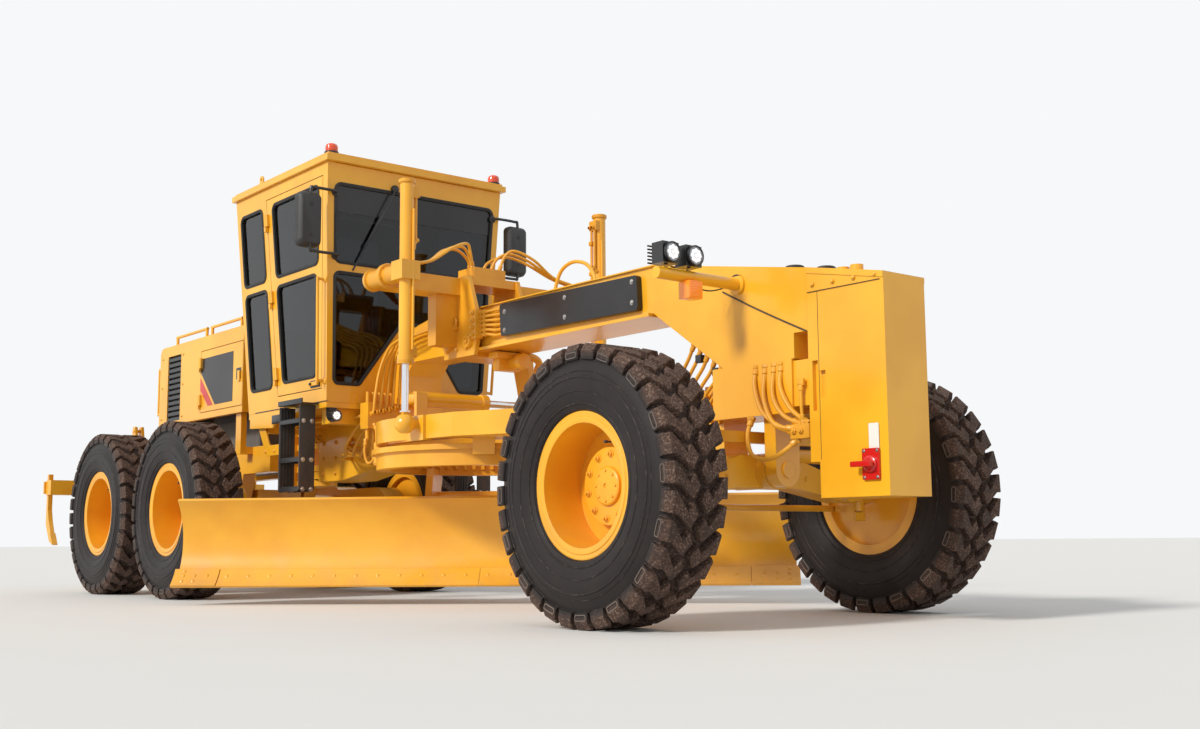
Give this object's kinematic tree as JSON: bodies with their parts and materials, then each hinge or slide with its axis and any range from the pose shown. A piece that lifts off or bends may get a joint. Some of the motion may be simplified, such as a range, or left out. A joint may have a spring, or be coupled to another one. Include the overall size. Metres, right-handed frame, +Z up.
{
  "type": "motor grader",
  "caption": "Articulated motor grader with a hollow cab, tandem drive, leaning front wheels, a blade under a turning circle and a rear ripper",
  "frame": {"origin": "on the ground under the middle of the machine's length and width", "axes": "+X forward, +Y to the machine's left, +Z up; the front axle is at x = 3.725 m"},
  "size_m": [9.538, 3.1594, 3.2949],
  "materials": {
    "yellow_paint": "semi-gloss machine enamel, dusty",
    "black_paint": "satin black enamel",
    "tyre_rubber": "moulded rubber with pale dust on the lugs",
    "tinted_glass": "tinted safety glass",
    "black_plastic": "grained moulding",
    "seat_fabric": "woven cover over foam",
    "rod_chrome": "hard chrome",
    "bare_steel": "machined and greased",
    "engine_iron": "painted casting"
  },
  "bodies": {
    "front_frame": {"main_frame": "yellow_paint", "blade_saddle": "yellow_paint", "front_box": "yellow_paint", "cab_floor": "yellow_paint", "cab_shell": "yellow_paint", "cab_roof": "yellow_paint", "cab_glass": "tinted_glass", "operator_seat": "seat_fabric", "control_console": "black_plastic", "ladders": "black_paint", "mirrors": "black_paint", "work_lamps": "black_paint", "valve_bank": "yellow_paint"},
    "rear_frame": {"rear_frame": "yellow_paint", "engine_block": "engine_iron", "hood": "yellow_paint", "louvres": "black_paint", "exhaust_stack": "black_paint"},
    "engine_door_right": {"engine_door_right": "yellow_paint"},
    "engine_door_left": {"engine_door_left": "yellow_paint"},
    "tandem_right": {"tandem_right": "yellow_paint"},
    "tandem_left": {"tandem_left": "yellow_paint"},
    "front_axle": {"front_axle": "yellow_paint"},
    "lean_bar": {"lean_bar": "yellow_paint"},
    "lean_yoke_right": {"lean_yoke_right": "yellow_paint"},
    "lean_yoke_left": {"lean_yoke_left": "yellow_paint"},
    "knuckle_right": {"knuckle_right": "yellow_paint"},
    "knuckle_left": {"knuckle_left": "yellow_paint"},
    "tie_rod": {"tie_rod": "yellow_paint"},
    "drawbar_ball": {"drawbar_ball": "bare_steel"},
    "drawbar": {"drawbar": "yellow_paint"},
    "turning_circle": {"turning_circle": "yellow_paint"},
    "tip_bracket": {"tip_bracket": "yellow_paint"},
    "moldboard": {"moldboard": "yellow_paint", "cutting_edges": "yellow_paint"},
    "lift_barrel_right": {"lift_barrel_right": "yellow_paint"},
    "lift_rod_right": {"lift_rod_right": "rod_chrome"},
    "lift_barrel_left": {"lift_barrel_left": "yellow_paint"},
    "lift_rod_left": {"lift_rod_left": "rod_chrome"},
    "shift_barrel": {"shift_barrel": "yellow_paint"},
    "shift_rod": {"shift_rod": "rod_chrome"},
    "cab_door_right": {"cab_door_right": "yellow_paint", "door_glass_right": "tinted_glass"},
    "cab_door_left": {"cab_door_left": "yellow_paint", "door_glass_left": "tinted_glass"},
    "ripper": {"ripper": "yellow_paint"},
    "wheel_front_right": {"rim_front_right": "yellow_paint", "tyre_front_right": "tyre_rubber"},
    "wheel_front_left": {"rim_front_left": "yellow_paint", "tyre_front_left": "tyre_rubber"},
    "wheel_middle_right": {"rim_middle_right": "yellow_paint", "tyre_middle_right": "tyre_rubber"},
    "wheel_middle_left": {"rim_middle_left": "yellow_paint", "tyre_middle_left": "tyre_rubber"},
    "wheel_rear_right": {"rim_rear_right": "yellow_paint", "tyre_rear_right": "tyre_rubber"},
    "wheel_rear_left": {"rim_rear_left": "yellow_paint", "tyre_rear_left": "tyre_rubber"}
  },
  "joints": [
    {"name": "articulation", "type": "hinge", "parent": "front_frame", "child": "rear_frame", "pos_m": [-1.175, 0, 1.1], "axis": [0, 0, -1], "range_deg": [-20, 20]},
    {"name": "tandem_right", "type": "hinge", "parent": "rear_frame", "child": "tandem_right", "pos_m": [-2.195, -0.72, 0.685], "axis": [0, -1, 0], "range_deg": [-25, 15]},
    {"name": "wheel_middle_right_spin", "type": "hinge", "parent": "tandem_right", "child": "wheel_middle_right", "pos_m": [-1.4325, -1.05, 0.685], "axis": [0, 1, 0], "continuous": true},
    {"name": "wheel_rear_right_spin", "type": "hinge", "parent": "tandem_right", "child": "wheel_rear_right", "pos_m": [-2.9575, -1.05, 0.685], "axis": [0, 1, 0], "continuous": true},
    {"name": "tandem_left", "type": "hinge", "parent": "rear_frame", "child": "tandem_left", "pos_m": [-2.195, 0.72, 0.685], "axis": [0, -1, 0], "range_deg": [-25, 15]},
    {"name": "wheel_middle_left_spin", "type": "hinge", "parent": "tandem_left", "child": "wheel_middle_left", "pos_m": [-1.4325, 1.05, 0.685], "axis": [0, 1, 0], "continuous": true},
    {"name": "wheel_rear_left_spin", "type": "hinge", "parent": "tandem_left", "child": "wheel_rear_left", "pos_m": [-2.9575, 1.05, 0.685], "axis": [0, 1, 0], "continuous": true},
    {"name": "axle_oscillation", "type": "hinge", "parent": "front_frame", "child": "front_axle", "pos_m": [3.725, 0, 0.78], "axis": [1, 0, 0], "range_deg": [-16, 16]},
    {"name": "wheel_lean", "type": "hinge", "parent": "front_axle", "child": "lean_yoke_right", "pos_m": [3.725, -0.66, 0.69], "axis": [-1, 0, 0], "range_deg": [-18, 18]},
    {"name": "wheel_lean_left", "type": "hinge", "parent": "front_axle", "child": "lean_yoke_left", "pos_m": [3.725, 0.66, 0.69], "axis": [-1, 0, 0], "range_deg": [-18, 18]},
    {"name": "lean_bar_slide", "type": "slide", "parent": "front_axle", "child": "lean_bar", "axis": [0, 1, 0], "range_m": [-0.09, 0.09]},
    {"name": "steering", "type": "hinge", "parent": "lean_yoke_right", "child": "knuckle_right", "pos_m": [3.725, -0.8, 0.685], "axis": [0, 0, 1], "range_deg": [-50, 50]},
    {"name": "wheel_front_right_spin", "type": "hinge", "parent": "knuckle_right", "child": "wheel_front_right", "pos_m": [3.725, -1.05, 0.685], "axis": [0, 1, 0], "continuous": true},
    {"name": "steering_left", "type": "hinge", "parent": "lean_yoke_left", "child": "knuckle_left", "pos_m": [3.725, 0.8, 0.685], "axis": [0, 0, 1], "range_deg": [-50, 50]},
    {"name": "wheel_front_left_spin", "type": "hinge", "parent": "knuckle_left", "child": "wheel_front_left", "pos_m": [3.725, 1.05, 0.685], "axis": [0, 1, 0], "continuous": true},
    {"name": "tie_rod_slide", "type": "slide", "parent": "front_axle", "child": "tie_rod", "axis": [0, 1, 0], "range_m": [-0.11, 0.11]},
    {"name": "drawbar_swing", "type": "hinge", "parent": "front_frame", "child": "drawbar_ball", "pos_m": [3.425, 0, 1.15], "axis": [0, 0, 1], "range_deg": [-6.5, 6.5]},
    {"name": "drawbar_pitch", "type": "hinge", "parent": "drawbar_ball", "child": "drawbar", "pos_m": [3.425, 0, 1.15], "axis": [0, -1, 0], "range_deg": [-8.5, 14.5]},
    {"name": "circle_turn", "type": "hinge", "parent": "drawbar", "child": "turning_circle", "pos_m": [1.155, 0, 0.97], "axis": [0, 0, 1], "continuous": true},
    {"name": "blade_tip", "type": "hinge", "parent": "turning_circle", "child": "tip_bracket", "pos_m": [0.9697, 0.18526, 0.392], "axis": [0.7071, 0.7071, 0], "range_deg": [-5, 40]},
    {"name": "blade_sideshift", "type": "slide", "parent": "tip_bracket", "child": "moldboard", "axis": [0.7071, 0.7071, 0], "range_m": [-0.75, 0.78]},
    {"name": "lift_barrel_right_tilt", "type": "hinge", "parent": "front_frame", "child": "lift_barrel_right", "pos_m": [1.425, -0.8, 2.15], "axis": [1, 0, 0], "range_deg": [-13, 13]},
    {"name": "lift_rod_right_slide", "type": "slide", "parent": "lift_barrel_right", "child": "lift_rod_right", "axis": [0, 0, 1], "range_m": [-0.52, 0.31]},
    {"name": "lift_barrel_left_tilt", "type": "hinge", "parent": "front_frame", "child": "lift_barrel_left", "pos_m": [1.425, 0.8, 2.15], "axis": [1, 0, 0], "range_deg": [-13, 13]},
    {"name": "lift_rod_left_slide", "type": "slide", "parent": "lift_barrel_left", "child": "lift_rod_left", "axis": [0, 0, 1], "range_m": [-0.52, 0.31]},
    {"name": "shift_barrel_tilt", "type": "hinge", "parent": "drawbar", "child": "shift_barrel", "pos_m": [1.275, -0.64, 1.345], "axis": [1, 0, 0], "range_deg": [-20, 34]},
    {"name": "shift_rod_slide", "type": "slide", "parent": "shift_barrel", "child": "shift_rod", "axis": [0, 1, 0], "range_m": [-0.26, 0.26]},
    {"name": "cab_door_right_swing", "type": "hinge", "parent": "front_frame", "child": "cab_door_right", "pos_m": [-0.612, -0.7052, 1.5243], "axis": [0.0975, 0.0399, -0.9944], "range_deg": [0, 95]},
    {"name": "cab_door_left_swing", "type": "hinge", "parent": "front_frame", "child": "cab_door_left", "pos_m": [-0.612, 0.7052, 1.5243], "axis": [-0.0975, 0.0399, 0.9944], "range_deg": [0, 95]},
    {"name": "engine_door_right_swing", "type": "hinge", "parent": "rear_frame", "child": "engine_door_right", "pos_m": [-2.527, -0.514, 1.8], "axis": [0, 0, -1], "range_deg": [0, 100]},
    {"name": "engine_door_left_swing", "type": "hinge", "parent": "rear_frame", "child": "engine_door_left", "pos_m": [-2.527, 0.514, 1.8], "axis": [0, 0, 1], "range_deg": [0, 100]},
    {"name": "ripper_lift", "type": "hinge", "parent": "rear_frame", "child": "ripper", "pos_m": [-3.985, 0, 0.88], "axis": [0, 1, 0], "range_deg": [-20, 20]}
  ],
  "couplings": [
    {"joint": "wheel_lean_left", "follows": "wheel_lean", "ratio": 1},
    {"joint": "lean_bar_slide", "follows": "wheel_lean", "m_per_rad": 0.265},
    {"joint": "steering_left", "follows": "steering", "ratio": 1},
    {"joint": "tie_rod_slide", "follows": "steering", "m_per_rad": -0.12},
    {"joint": "lift_barrel_right_tilt", "follows": "drawbar_swing", "ratio": -1.96},
    {"joint": "lift_rod_right_slide", "follows": "drawbar_pitch", "m_per_rad": -1.98},
    {"joint": "lift_barrel_left_tilt", "follows": "drawbar_swing", "ratio": -1.96},
    {"joint": "lift_rod_left_slide", "follows": "drawbar_pitch", "m_per_rad": -1.98},
    {"joint": "shift_barrel_tilt", "follows": "drawbar_pitch", "ratio": 2.29},
    {"joint": "shift_rod_slide", "follows": "drawbar_swing", "m_per_rad": 2.15}
  ]
}
